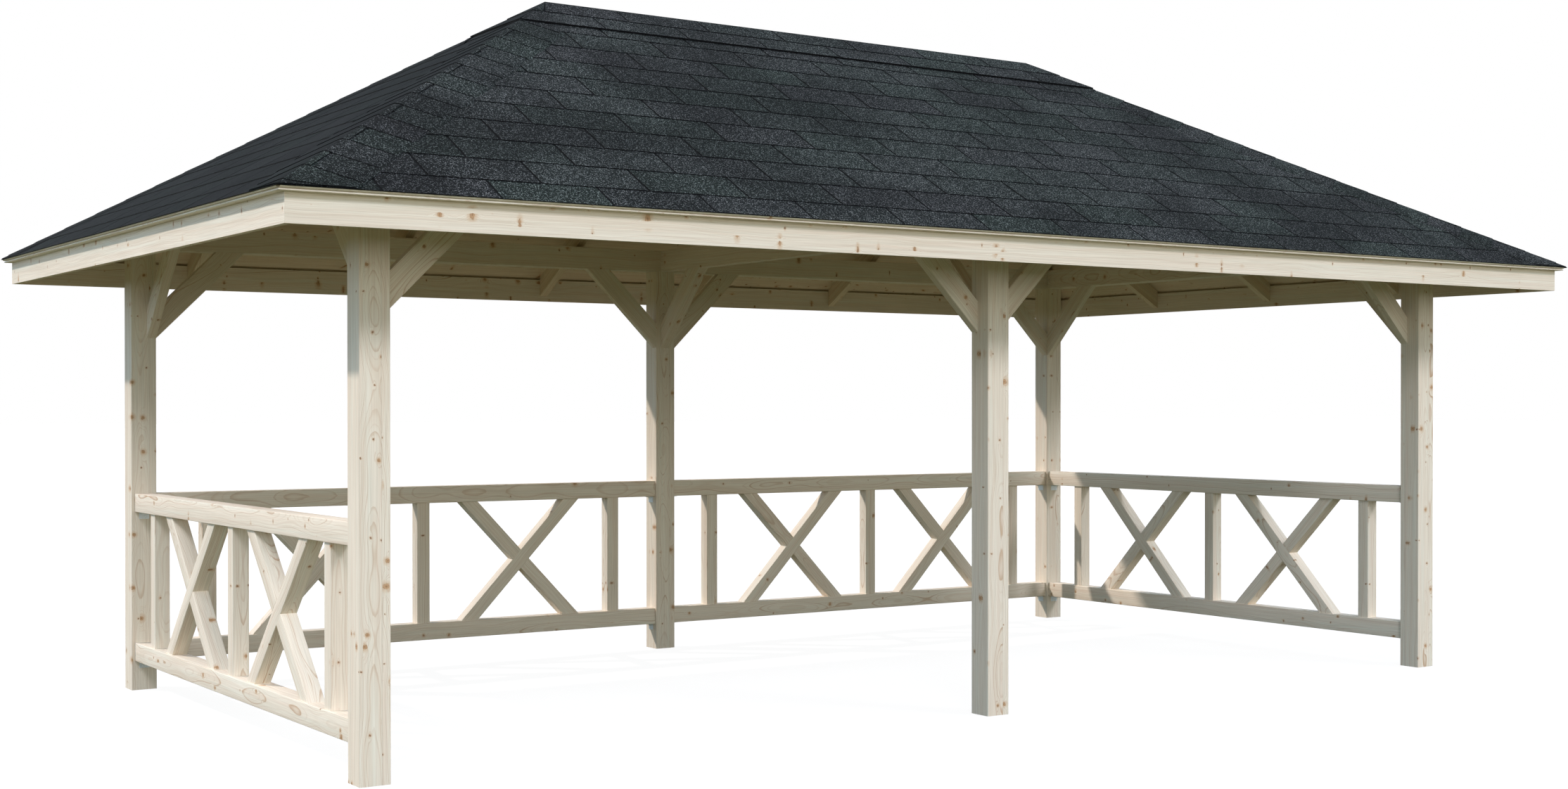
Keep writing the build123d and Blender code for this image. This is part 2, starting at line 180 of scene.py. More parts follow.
def blend(factor, first, second, mode="MIX"):
    """A mix of two colours."""
    node = new_node(tree_of(factor, first, second), "Mix", data_type="RGBA", blend_type=mode)
    feed(node, Factor=factor, A=first, B=second)
    return Wire(node.outputs["Result"])


def shader_group(name, inputs, outputs):
    """A node group with named sockets: its tree, its inputs as wires and its output sockets."""
    tree = bpy.data.node_groups.new(name, "ShaderNodeTree")
    for label, kind, value in inputs:
        socket = tree.interface.new_socket(label, in_out="INPUT", socket_type="NodeSocket" + kind)
        if value is not None:
            socket.default_value = value
    for label, kind in outputs:
        tree.interface.new_socket(label, in_out="OUTPUT", socket_type="NodeSocket" + kind)
    entry = tree.nodes.new("NodeGroupInput")
    leave = tree.nodes.new("NodeGroupOutput")
    given = {socket.name: Wire(socket) for socket in entry.outputs if socket.name}
    return tree, given, leave.inputs


def spruce_group():
    """Spruce as it grew: rings round a wandering pith, cut by branches that leave it.

    The place in the tree is (along the trunk, and two distances from the pith), in metres.
    """
    tree, given, put = shader_group("Spruce", [
        ("Place in tree", "Vector", None),
        ("Ring width", "Float", 0.004),
        ("Pale wood", "Color", pale_spruce),
        ("Late wood", "Color", late_spruce),
        ("Knot", "Color", knot_brown),
        ("Knots per metre", "Float", 2.6),
    ], [("Colour", "Color"), ("Roughness", "Float"), ("Height", "Float")])
    place = given["Place in tree"]
    per_metre = given["Knots per metre"]
    along, across, depth = split(place)

    # The pith wanders slowly from side to side
    wander = 0.040
    _, slow_across, slow_depth = unrest(along, 2.1, 1.0, 0.5)
    across = across + slow_across * wander
    depth = depth + slow_depth * wander
    radius = calc("SQRT", across * across + depth * depth)
    angle = calc("ARCTAN2", depth, across)

    # Branches: cells over height and angle, each with one axis that runs out from the pith.
    # Some are missing, and some are grown over at this distance from the pith.
    knots_round = 1.8
    knot_least = 0.0026
    knot_more = 0.0080
    cell_up = along * per_metre
    cell_turn = angle * knots_round
    (chance, size, _), axis = cells(join(cell_up, cell_turn, 0.0), 1.0, "2D")
    axis_up, axis_turn, _ = split(axis)
    torn_up, torn_turn, torn_shade = unrest(place, 85.0, 2.0, 0.6)
    off_up = (cell_up - axis_up) / per_metre + torn_up * 0.0085
    off_turn = (cell_turn - axis_turn) * (radius / knots_round) + torn_turn * 0.0070
    grown_over = noise(chance * 40.0 + radius * 24.0, 1.0, 0.0)
    there = ease(chance, 0.10, 0.14) * ease(grown_over, 0.46, 0.52)
    span = there * (size * size * knot_more + knot_least)
    share = calc("SQRT", off_up * off_up + off_turn * off_turn) / (span + 0.0001)
    knot = ease(share, 1.20, 0.80)
    core = ease(share, 0.62, 0.10)
    rim = ease(share, 0.62, 0.98) * ease(share, 1.35, 1.0) * ease(torn_shade, -0.10, 0.12)

    # Rings swell round a branch, as a bell curve drawn out along the trunk
    long_off = off_up * 0.34
    flow = (long_off * long_off + off_turn * off_turn) / (span * span * 2.2 + 0.0000001)
    swell = calc("EXPONENT", flow * -1.0) * span * 1.9

    # Rings, waved out of round and shifted along the trunk by its taper, each with a hard dark
    # edge on the outside
    taper = 0.010
    drawn = vector_calc("MULTIPLY", place, (0.07, 1.0, 1.0))
    wave = (noise(drawn, 13.0, 1.0) - 0.5) * 0.0060
    fine = (noise(drawn, 110.0, 2.0) - 0.5) * 0.0014
    years = (radius + swell + wave + fine + along * taper) / given["Ring width"]
    years = years + noise(years, 0.35, 1.0) * 2.2
    season = calc("FRACT", years)
    late = ease(season, 0.62, 0.94) * ease(season, 1.0, 0.95)
    year_lot = draw_lots(calc("FLOOR", years))[3]
    line = late * (year_lot * year_lot * 1.05 + 0.20)

    # Fine straight fibres, bands of years and slow changes of tone
    fibre = noise(vector_calc("MULTIPLY", place, (3.0, 260.0, 260.0)), 1.0, 3.0, 0.65)
    band = noise(years, 0.22, 2.0, 0.6)
    tone = noise(vector_calc("MULTIPLY", place, (0.9, 34.0, 34.0)), 1.0, 2.0, 0.6)
    wood = blend(line * 0.85, given["Pale wood"], given["Late wood"])
    wood = blend(ease(band, 0.46, 0.74, 0.0, 0.30), wood, dark_years)
    wood = blend(ease(tone, 0.50, 0.76, 0.0, 0.36), wood, pink_wood)
    wood = blend(ease(tone, 0.50, 0.24, 0.0, 0.45), wood, white_wood)
    threads = blend(ease(fibre, 0.28, 0.72), (0.92, 0.90, 0.87, 1), (1.08, 1.08, 1.08, 1))
    wood = blend(1.0, wood, threads, "MULTIPLY")
    wood = blend(ease(share, 3.0, 0.9, 0.0, 0.52) * there, wood, knot_halo)
    wood = blend(knot * 0.84, wood, blend(ease(size, 0.25, 0.80), given["Knot"], knot_pale))
    wood = blend(core * 0.55, wood, knot_core)
    wood = blend(rim * 0.50, wood, knot_rim)
    plug(put["Colour"], wood)
    plug(put["Roughness"], fibre * 0.08 - line * 0.10 - knot * 0.12 + 0.62)
    plug(put["Height"], line * 0.45 + fibre * 0.35 - rim * 0.8)
    return tree


spruce = spruce_group()


def glued_sticks_group():
    """Four sticks glued into one post: each gets its own place in its own tree.

    The place is shifted by lots drawn for each side of the two splits, and the glue shows
    within half a millimetre of a split.
    """
    tree, given, put = shader_group("Glued sticks", [
        ("Place", "Vector", None),
        ("Pith", "Vector", None),
        ("Seed", "Float", 0.0),
    ], [("Place in tree", "Vector"), ("Glue", "Float")])
    along, across, depth = split(given["Place"])
    side = calc("GREATER_THAN", across, stick_split[0])
    face = calc("GREATER_THAN", depth, stick_split[1])
    step, pith_a, pith_b, _ = draw_lots(face * 2.0 + side + given["Seed"])
    own = join(along + step * trunk_length, across + pith_a * 0.05, depth + (pith_b - 0.5) * 0.06)
    plug(put["Place in tree"], vector_calc("ADD", own, given["Pith"]))
    gap = calc("MINIMUM", calc("ABSOLUTE", across - stick_split[0]),
               calc("ABSOLUTE", depth - stick_split[1]))
    plug(put["Glue"], ease(gap, glue_line * 1.6, glue_line * 0.4))
    return tree


glued_sticks = glued_sticks_group()


def new_material(name):
    """A material with one Principled shader: the material, its tree and the shader."""
    material = bpy.data.materials.new(name)
    material.use_nodes = True
    tree = material.node_tree
    return material, tree, tree.nodes["Principled BSDF"]


def object_place(tree):
    """The place on a piece, in metres."""
    return Wire(new_node(tree, "TexCoord").outputs["Object"])


def moved(place, turn, shift=(0, 0, 0)):
    """A place turned by a matrix and then shifted."""
    return worked_out("Mapping", place, shift, turn.to_euler())


def put_group(group, **values):
    """The outputs, by name, of a node group that is fed the values."""
    node = new_node(tree_of(*values.values()), "Group", node_tree=group)
    feed(node, **values)
    return {socket.name: Wire(socket) for socket in node.outputs}


def relief(height, strength, depth):
    """The normal of a surface raised by a height times a depth in metres."""
    node = new_node(height.tree, "Bump")
    feed(node, Height=height, Strength=strength, Distance=depth)
    return Wire(node.outputs["Normal"])


def finish_wood(shader, place, ring, knots, tint=no_tint, glue=None):
    """Feeds the spruce pattern at a place in the tree into a shader, with a shallow relief."""
    grain = put_group(spruce, Place_in_tree=place, Ring_width=ring, Knots_per_metre=knots)
    colour = blend(1.0, grain["Colour"], tint, "MULTIPLY")
    if glue:
        colour = blend(glue * 0.45, colour, glue_brown)
    feed(shader, Base_Color=colour, Roughness=grain["Roughness"], Specular_IOR_Level=0.32,
         Normal=relief(grain["Height"], 0.5, 0.0006))


def dress(node, material):
    """Gives a frame node its one material."""
    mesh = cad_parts[node].data
    mesh.materials.clear()
    mesh.materials.append(material)


turn_to_grain = {"X": Euler((0, 0, 0)), "Y": Euler((0, 0, -math.pi / 2)),
                 "Z": Euler((0, math.pi / 2, 0))}


def dress_laid(node, axis, roll=0.0, pith=(0.10, 0.02), ring=0.004, knots=2.6, tint=no_tint,
               sticks=False):
    """Spruce on a straight timber: its object place, turned to the grain and moved off the pith.

    The turn takes the timber's long axis to the first coordinate, then rolls it by an angle.
    """
    material, tree, shader = new_material(f"spruce_{node}")
    low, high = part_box(node)
    turn = Matrix.Rotation(roll, 3, "X") @ turn_to_grain[axis].to_matrix()
    start = Vector((rng.uniform(0, trunk_length), 0, 0)) - turn @ ((low + high) / 2)
    glue = None
    if sticks:
        parts = put_group(glued_sticks, Place=moved(object_place(tree), turn, start),
                          Pith=(0, *pith), Seed=float(rng.integers(0, 500)))
        place, glue = parts["Place in tree"], parts["Glue"]
    else:
        place = moved(object_place(tree), turn, start + Vector((0, *pith)))
    finish_wood(shader, place, ring, knots, tint, glue)
    dress(node, material)
    return material


for row in ("front", "back"):
    for column in ("left", "middle", "right"):
        dress_laid(f"post_{row}_{column}", "Z", pith=(0.105, 0.01), ring=0.0042, knots=5.0,
                   sticks=True)

# Plates and tie beam
# Squared spruce beams laid flat on the posts, and a narrower one across the middle that keeps
# the two long sides from spreading.

four_sides = (("front", "X"), ("back", "X"), ("left", "Y"), ("right", "Y"))
for beam, axis in (*((f"plate_{side}", axis) for side, axis in four_sides), ("tie_beam", "Y")):
    dress_laid(beam, axis, rng.choice((0.0, math.pi / 2)), (0.12, rng.uniform(-0.03, 0.03)),
               ring=0.0038, knots=4.6)

# Knee braces
# Short spruce struts cut at 45 degrees, screwed flush with the inner faces of the posts, so
# that the open frame can't rack.

brace_edge = 0.002
brace_depth = 0.100


def unit(vector):
    """A vector scaled to length 1."""
    return vector / np.linalg.norm(vector)


def turned(points, angle):
    """Points turned anticlockwise in their first two coordinates."""
    x, y = points[..., :1], points[..., 1:2]
    cos, sin = math.cos(angle), math.sin(angle)
    return np.concatenate([x * cos - y * sin, x * sin + y * cos, points[..., 2:]], -1)


def squared(width, height, radius, steps=3):
    """Outline of a squared timber: a rectangle whose corners are quarter circles."""
    angles = np.linspace(0, np.pi / 2, steps + 1)
    arc = np.stack([np.cos(angles), np.sin(angles)], 1) * radius
    corner = np.array([width / 2 - radius, height / 2 - radius])
    signs = ((1, 1), (-1, 1), (-1, -1), (1, -1))
    return np.concatenate([corner * sign + turned(arc, number * np.pi / 2)
                           for number, sign in enumerate(signs)])


def prisms(start, end):
    """Closed bars: the ring of corners of each bar's start, joined to the ring of its end.

    Both arrays are (bars, corners, 3); the rings run anticlockwise seen from the end.
    """
    bars, corners = start.shape[:2]
    points = np.concatenate([start, end], 1).reshape(-1, 3)
    here = np.arange(corners)
    there = (here + 1) % corners
    first = np.arange(bars)[:, None, None] * 2 * corners
    sides = (np.stack([here, there, there + corners, here + corners], 1) + first).reshape(-1, 4)
    caps = (np.stack([here[::-1], here + corners]) + first).reshape(-1, corners)
    return points, sides.tolist() + caps.tolist()


def stick(start, end, side, outline, cuts, pith=0.11, roll=None):
    """A timber: an outline carried along the line from start to end, cut by a plane at each end.

    A point of the outline (a, b) moves to start + a side + b up + t direction, where t is where
    its own line meets the cutting plane. The third result is each point's place in its tree.
    """
    start, end, side = (np.array(v, float) for v in (start, end, side))
    heading = unit(end - start)
    side = unit(side - heading * (side @ heading))
    up = np.cross(heading, side)
    lines = start + outline[:, :1] * side + outline[:, 1:] * up
    rings = []
    for point, normal in cuts:
        normal = np.array(normal, float)
        travel = (np.array(point, float) - lines) @ normal / (heading @ normal)
        rings.append(lines + travel[:, None] * heading)
    points, faces = prisms(*(ring[None] for ring in rings))
    roll = rng.uniform(0, 2 * np.pi) if roll is None else roll
    flat = turned(np.concatenate([outline, outline]), roll)
    place = np.column_stack([(points - start) @ heading + rng.uniform(0, trunk_length),
                             flat[:, 0] + pith, flat[:, 1] + rng.uniform(-0.03, 0.03)])
    return points, faces, place


def gather(shapes):
    """One array of points and one list of faces from shapes that begin with these two."""
    points, faces, count = [], [], 0
    for shape_points, shape_faces, *_ in shapes:
        points.append(shape_points)
        faces += [[corner + count for corner in face] for face in shape_faces]
        count += len(shape_points)
    return np.concatenate(points), faces


def add_object(name, data):
    """A new object in the scene."""
    made = bpy.data.objects.new(name, data)
    bpy.context.scene.collection.objects.link(made)
    return made


def make_piece(name, points, faces, material, slot_name, nodes, smooth=40, **attributes):
    """A mesh object that rides on the frame, with named point attributes of three numbers."""
    mesh = bpy.data.meshes.new(name)
    mesh.from_pydata(np.asarray(points).tolist(), [], faces)
    for label, values in attributes.items():
        mesh.attributes.new(label, "FLOAT_VECTOR", "POINT").data.foreach_set(
            "vector", np.asarray(values, np.float32).ravel())
    mesh.materials.append(material)
    mesh.shade_smooth()
    mesh.set_sharp_from_angle(angle=math.radians(smooth))
    piece = add_object(name, mesh)
    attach(piece, "root")
    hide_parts(*nodes)
    return piece


def build_piece(name, sticks, material, node):
    """One timber piece from many sticks, which carries each point's place in its tree."""
    places = np.concatenate([place for _, _, place in sticks])
    make_piece(name, *gather(sticks), material, "timber", [node], tree=places)


def own_value(tree, name, output="Vector"):
    """A value that the piece's mesh carries."""
    return Wire(new_node(tree, "Attribute", attribute_name=name).outputs[output])


def sawn_wood(name, ring, knots, tint=no_tint):
    """Spruce for pieces that carry each point's place in its tree."""
    material, tree, shader = new_material(name)
    finish_wood(shader, own_value(tree, "tree"), ring, knots, tint)
    return material


frame_wood = sawn_wood("spruce_struts", ring=0.0038, knots=4.8)


def brace(foot, heading, thick):
    """A strut from a point on a post, rising at 45 degrees along a level heading."""
    foot = np.array(foot, float)
    run = np.array([math.cos(heading), math.sin(heading), 0.0])
    slope = (run + (0, 0, 1)) / math.sqrt(2)
    square = ((0, 0, 1) - run) / math.sqrt(2)
    middle = foot + square * brace_depth / 2
    side = np.array([-run[1], run[0], 0.0])
    return stick(middle, middle + slope, side, squared(thick, brace_depth, brace_edge),
                 ((foot, run), ((0, 0, plate_under), (0, 0, 1))))


plate_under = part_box("plate_front")[0].z
post_low, post_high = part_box("post_back_right")
inner_x, inner_y, _ = post_low
half_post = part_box("post_front_middle")[1].x
front_low, front_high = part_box("braces_front")
tie_low, tie_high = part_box("braces_tie")
brace_low = front_low.z
brace_thick = front_high.y - front_low.y
tie_thick = tie_high.x - tie_low.x
line_x = inner_x + brace_thick / 2
line_y = inner_y + brace_thick / 2
for row, y in (("front", -line_y), ("back", line_y)):
    starts = ((-inner_x, 0.0), (-half_post, math.pi), (half_post, 0.0), (inner_x, math.pi))
    struts = [brace((x, y, brace_low), heading, brace_thick) for x, heading in starts]
    build_piece(f"knee_braces_{row}", struts, frame_wood, f"braces_{row}")
for row, x, thick in (("left", -line_x, brace_thick), ("right", line_x, brace_thick),
                      ("tie", 0.0, tie_thick)):
    struts = [brace((x, y, brace_low), heading, thick)
              for y, heading in ((-inner_y, math.pi / 2), (inner_y, -math.pi / 2))]
    build_piece(f"knee_braces_{row}", struts, frame_wood, f"braces_{row}")

# Railings
# Each panel has two square rails, three balusters and two crosses. The bars of a cross are
# halved into each other: one runs through on the outer face, the other on the inner face.

rail_edge = 0.003
bar_edge = 0.002
rail_side = 0.090
bar_side = 0.070
cross_gap = 0.182
gap_back = 0.232
gap_end = 0.246
roll_play = 0.35
railing_wood = sawn_wood("spruce_railings", ring=0.0056, knots=2.3)


def half_squared(width, thick, radius, steps=3):
    """Outline of half a bar: square where it meets its other half, rounded outside."""
    full = squared(width, 2 * thick, radius, steps)
    outer = full[full[:, 1] > 0]
    order = np.argsort(-outer[:, 0], kind="stable")
    return np.concatenate([[[-width / 2, 0.0], [width / 2, 0.0]], outer[order]])


def square_bar(start, end, width, edge, pith, turn):
    """A square bar cut square at both ends; its rings are rolled by a turn and a small lot."""
    heading = unit(np.subtract(end, start))
    return stick(start, end, (0, 1, 0), squared(width, width, edge),
                 ((start, heading), (end, heading)), pith,
                 turn + rng.uniform(-roll_play, roll_play))


def bar_in_field(x0, x1, low, high, rising):
    """Middle line of a bar whose level cuts just fill the corners of a field.

    The level cut c of a bar of side w that climbs h over a field s wide follows from
    w squared times ((s - c) squared + h squared) = c squared times h squared.
    """
    span, climb = x1 - x0, high - low
    lead = climb ** 2 - bar_side ** 2
    cut = (math.sqrt((bar_side ** 2 * span) ** 2
                     + lead * bar_side ** 2 * (span ** 2 + climb ** 2))
           - bar_side ** 2 * span) / lead
    foot, head = (x0 + cut / 2, x1 - cut / 2) if rising else (x1 - cut / 2, x0 + cut / 2)
    return np.array([foot, 0.0, low]), np.array([head, 0.0, high])


def cross(x0, x1, low, high, rising_outside):
    """Sticks of one cross, in panel coordinates (x along, y out, z up)."""
    sticks = []
    middle = np.array([(x0 + x1) / 2, 0.0, (low + high) / 2])
    for rising in (True, False):
        foot, head = bar_in_field(x0, x1, low, high, rising)
        other = np.subtract(*bar_in_field(x0, x1, low, high, not rising))
        normal = np.cross(other, (0, 1, 0)) / np.linalg.norm(other)
        normal *= np.sign(normal @ (head - foot))
        edge = normal * bar_side / 2
        bottom, top = (foot, (0, 0, 1)), (head, (0, 0, 1))
        heading = unit(head - foot)
        roll, lot = rng.uniform(0, 2 * np.pi), rng.uniform(0, trunk_length)
        for outward in (-1, 1):
            through = (outward < 0) == (rising == rising_outside)
            spans = ((bottom, top),) if through else ((bottom, (middle - edge, normal)),
                                                     ((middle + edge, normal), top))
            outline = half_squared(bar_side, bar_side / 2, bar_edge) * outward
            for cuts in spans:
                points, faces, place = stick(foot, head, np.cross((0, 1, 0), heading), outline,
                                             cuts, roll=roll)
                place[:, 0] = (points - foot) @ heading + lot
                sticks.append((points, faces, place))
    return sticks


def railing(place_name, centre, turn, length, end_gap, rising_outside):
    """A panel laid out along x about the origin, then turned and moved to its place."""
    node = f"railing_{place_name}"
    low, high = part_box(node)
    low_top, up_low = low.z + rail_side, high.z - rail_side
    half = length / 2
    outer = half - end_gap - bar_side / 2
    sticks = [square_bar((-half, 0, z), (half, 0, z), rail_side, rail_edge, 0.10,
                         rng.choice((0.0, np.pi)))
              for z in (low.z + rail_side / 2, high.z - rail_side / 2)]
    sticks += [square_bar((x, 0, low_top), (x, 0, up_low), bar_side, bar_edge, 0.07,
                          rng.choice((0.5, 1.5)) * np.pi)
               for x in (-outer, 0.0, outer)]
    near = bar_side / 2 + cross_gap
    far = outer - near
    for x0, x1 in ((-far, -near), (near, far)):
        sticks += cross(x0, x1, low_top, up_low, rising_outside)
    placed = [(turned(points, turn) + centre, faces, place) for points, faces, place in sticks]
    build_piece(f"railing_panel_{place_name}", placed, railing_wood, node)


post_x = (post_low.x + post_high.x) / 2
row_y = (post_low.y + post_high.y) / 2
bay = post_x - 2 * half_post
railing("back_left", (-post_x / 2, row_y, 0), math.pi, bay, gap_back, True)
railing("back_right", (post_x / 2, row_y, 0), math.pi, bay, gap_back, True)
railing("left", (-post_x, 0, 0), -math.pi / 2, 2 * inner_y, gap_end, True)
railing("right", (post_x, 0, 0), math.pi / 2, 2 * inner_y, gap_end, False)

# Angle brackets
# Galvanised steel angles under both ends of every rail, bent from 3 mm strip, with two
# dome-headed screws through each leg.

bracket_width = 0.048
bracket_leg = 0.035
bracket_thick = 0.003
bend_radius = 0.005
screw_radius = 0.0042
screw_rise = 0.0020
screw_out = 0.026
screw_side = 0.010


def dome(radius, rise, rings=4, sides=14):
    """A screw head: circles that shrink as the sine while they rise as the cosine, and a foot."""
    tilt = np.linspace(np.pi / 2, 0, rings, endpoint=False)
    around = np.linspace(0, 2 * np.pi, sides, endpoint=False)
    circles = np.stack([np.outer(np.sin(tilt), np.cos(around)) * radius,
                        np.outer(np.sin(tilt), np.sin(around)) * radius,
                        np.outer(np.cos(tilt), np.ones(sides)) * rise], -1).reshape(-1, 3)
    points = np.concatenate([circles, [[0, 0, rise]]])
    here = np.arange(sides)
    there = (here + 1) % sides
    lower = np.arange(rings - 1)[:, None, None] * sides
    quads = (np.stack([here, there, there + sides, here + sides], 1) + lower).reshape(-1, 4)
    last = (rings - 1) * sides
    tips = np.stack([here + last, there + last, np.full(sides, rings * sides)], 1)
    return points, quads.tolist() + tips.tolist() + [here[::-1].tolist()]


def angle_outline():
    """Section of an angle in (out, up): two legs, with a quarter circle inside and outside."""
    turn = np.linspace(np.pi / 2, np.pi, 6)
    arc = np.stack([np.cos(turn), np.sin(turn)], 1)
    middle = (bend_radius, -bend_radius)
    outer = arc * bend_radius + middle
    inner = arc * (bend_radius - bracket_thick) + middle
    ends = [[0, -bracket_leg], [bracket_thick, -bracket_leg]]
    return np.concatenate([ends, inner[::-1], [[bracket_leg, -bracket_thick], [bracket_leg, 0]],
                           outer])


def bracket():
    """One angle about its inner corner: x out from the post, z down from the rail."""
    outline = angle_outline()
    ring = np.stack([outline[:, 0], np.zeros(len(outline)), outline[:, 1]], 1)
    shift = np.array([0, bracket_width / 2, 0])
    shapes = [prisms((ring + shift)[None], (ring - shift)[None])]
    head, head_faces = dome(screw_radius, screw_rise)
    out_ward = head[:, [2, 0, 1]]
    down_ward = head * (1, -1, -1)
    for side in (-screw_side, screw_side):
        shapes.append((out_ward + (bracket_thick, side, -screw_out), head_faces))
        shapes.append((down_ward + (screw_out, side, -bracket_thick), head_faces))
    return gather(shapes)


zinc, tree, shader = new_material("galvanised_steel")
(flake, _, _), _ = cells(object_place(tree), 260.0)
feed(shader, Base_Color=blend(flake, (0.74, 0.79, 0.84, 1), (0.84, 0.88, 0.92, 1)),
     Roughness=flake * 0.16 + 0.34, Metallic=0.45)

angle_points, angle_faces = bracket()
rail_unders = [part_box("railing_left")[0].z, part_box("railing_left")[1].z - rail_side]
rail_ends = [(x, row_y, 0) for x in (-inner_x, half_post)]
rail_ends += [(x, row_y, math.pi) for x in (-half_post, inner_x)]
rail_ends += [(x, side * inner_y, -side * math.pi / 2)
              for x in (-post_x, post_x) for side in (-1, 1)]
angles = [(turned(angle_points, heading) + (x, y, z), angle_faces)
          for x, y, heading in rail_ends for z in rail_unders]
make_piece("rail_angles", *gather(angles), zinc, "zinc", ["rail_brackets"], 30)

# Ridge beam and rafters
# Planed spruce: rafters notched over the plates, and hip rafters bevelled on top to both slopes.
# They meet the ridge beam with plumb and mitred cuts.

half_x = -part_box("fascia_left")[0].x
half_y = -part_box("fascia_front")[0].y
eaves_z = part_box("fascia_front")[1].z
apex_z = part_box("ridge_beam")[1].z
ridge_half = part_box("ridge_beam")[1].x
roof_rise = apex_z - eaves_z
hip_run_x = half_x - ridge_half
rafter_pitch = 1.014
jack_pitch = 0.995
rafter_pith = (0.09, -2.6)
next_rafter = 5.3
# A darker, yellower tint for the roof timbers: painted shade for the olive dark under the roof.
roof_shade_tint = (0.90, 0.84, 0.74, 1)


def dress_raked(node, heading, side, pitch=None):
    """Spruce on sloping timbers laid a pitch apart: each number gets its own stretch of tree.

    The object place is turned so that the heading comes first; the distance across is taken
    from the nearest timber's middle, and its number shifts the place along the trunk. With no
    pitch, the roof's four quarters lie on one another and each quarter has its own number.
    """
    material, tree, shader = new_material(f"spruce_{node}")
    place = object_place(tree)
    if not pitch:
        x, y, z = split(place)
        number = calc("SIGN", y) * 2.0 + calc("SIGN", x)
        place = join(calc("ABSOLUTE", x), calc("ABSOLUTE", y), z)
    heading = Vector(heading).normalized()
    side = Vector(side).normalized()
    along, across, depth = split(moved(place, Matrix((heading, side, heading.cross(side)))))
    if pitch:
        number = calc("FLOOR", across / pitch)
        across = across - (number + 0.5) * pitch
    place = join(along + number * next_rafter, across + rafter_pith[0], depth + rafter_pith[1])
    finish_wood(shader, place, ring=0.004, knots=3.4, tint=roof_shade_tint)
    dress(node, material)


# The ridge beam and rafters carry the painted shade tint of the roof.
dress_laid("ridge_beam", "X", tint=roof_shade_tint)
for row, way in (("front", 1), ("back", -1)):
    dress_raked(f"rafters_{row}", (0, half_y * way, roof_rise), (1, 0, 0), rafter_pitch)
for row, way in (("left", 1), ("right", -1)):
    dress_raked(f"rafters_{row}", (hip_run_x * way, 0, roof_rise), (0, 1, 0), jack_pitch)
dress_raked("hip_rafters", (-hip_run_x, -half_y, roof_rise), (-half_y, hip_run_x, 0))

# Fascia boards
# Wide planed boards nailed to the rafter ends on four sides, their corners mitred.

for side, axis in four_sides:
    dress_laid(f"fascia_{side}", axis, math.pi / 2, (0.075, 0.05), ring=0.0036, knots=6.0)

# Roof boards
# Matched spruce boards nailed level across the rafters, with a small vee between them on the
# underside and mitred ends along the hips. Long rows are made of two lengths.

board_width = 0.117
board_thick = 0.022
board_vee = 0.003
board_pith = 0.05
butt_gap = 0.0008
long_row = 2.2
slopes = {"front": (0.0, half_x, half_y, half_y, ridge_half),
          "right": (math.pi / 2, half_y, half_x, hip_run_x, 0.0),
          "back": (math.pi, half_x, half_y, half_y, ridge_half),
          "left": (-math.pi / 2, half_y, half_x, hip_run_x, 0.0)}


def half_width(side, share):
    """Half the width of a slope at a share of its height: the hips close in with the share."""
    _, half_eaves, *_, half_top = slopes[side]
    return half_eaves + (half_top - half_eaves) * share


def on_slope(side, across, share, lift):
    """Points on a slope, lifted plumb from the undersides of its boards.

    The share is 0 at the eaves and 1 at the top. In plan a point lies its share of the run in
    from the eaves; it is held between the hips, and the front slope's layout is turned about
    the middle for the other sides.
    """
    turn, _, half_depth, run, _ = slopes[side]
    across, share, lift = np.broadcast_arrays(across, share, lift)
    across = np.clip(across, -half_width(side, share), half_width(side, share))
    laid = np.stack([across, run * share - half_depth, eaves_z + roof_rise * share + lift], -1)
    return turned(laid, turn)


def tree_places(rings, across, size, pith):
    """Place in the tree for boards on a slope: along is across, with a lot for each board."""
    boards, corners = across.shape[0], rings.shape[0]
    lots = np.stack([rng.uniform(0, trunk_length, boards), rng.uniform(-0.4, 0.4, boards) * size,
                     pith * rng.uniform(0.6, 1.5, boards)], 1)
    flat = np.column_stack([np.zeros(corners), rings[:, 0], rings[:, 1]])
    return lots[:, None, :] + flat[None]


# The roof boards carry the painted shade tint of the roof.
roof_board_wood = sawn_wood("spruce_roof_boards", ring=0.0038, knots=3.6, tint=roof_shade_tint)
for side, (_, half_eaves, _, run, _) in slopes.items():
    length = math.hypot(run, roof_rise)
    rows = round(length / board_width)
    step = 1 / rows
    vee = board_vee / length
    boards = []
    for row in range(rows):
        cuts = [-half_eaves, half_eaves]
        if half_width(side, row * step) > long_row:
            cuts.insert(1, rafter_pitch * (rng.integers(-2, 2) + 0.5))
        boards += [(row * step, start + butt_gap, stop - butt_gap)
                   for start, stop in zip(cuts, cuts[1:])]
    low, left, right = np.array(boards).T[..., None]
    section = np.array([[vee, 0], [step - vee, 0], [step, board_vee], [step, board_thick],
                        [0, board_thick], [0, board_vee]])
    start, end = (on_slope(side, edge, low + section[:, 0], section[:, 1])
                  for edge in (left, right))
    flat = tree_places(section * (length, 1), left, board_width, board_pith)
    ends = np.stack([flat, flat], 1)
    ends[:, 0, :, 0] += left
    ends[:, 1, :, 0] += right
    make_piece(f"ceiling_boards_{side}", *prisms(start, end), roof_board_wood, "roof_timber",
               [f"roof_boards_{side}"], 30, tree=ends)

# Eaves moulding
# A two-bead spruce moulding under the edge of the shingles, mitred at the corners, where its cut
# ends are painted dark: their end grain, with painted shade for the notch of the mitre.

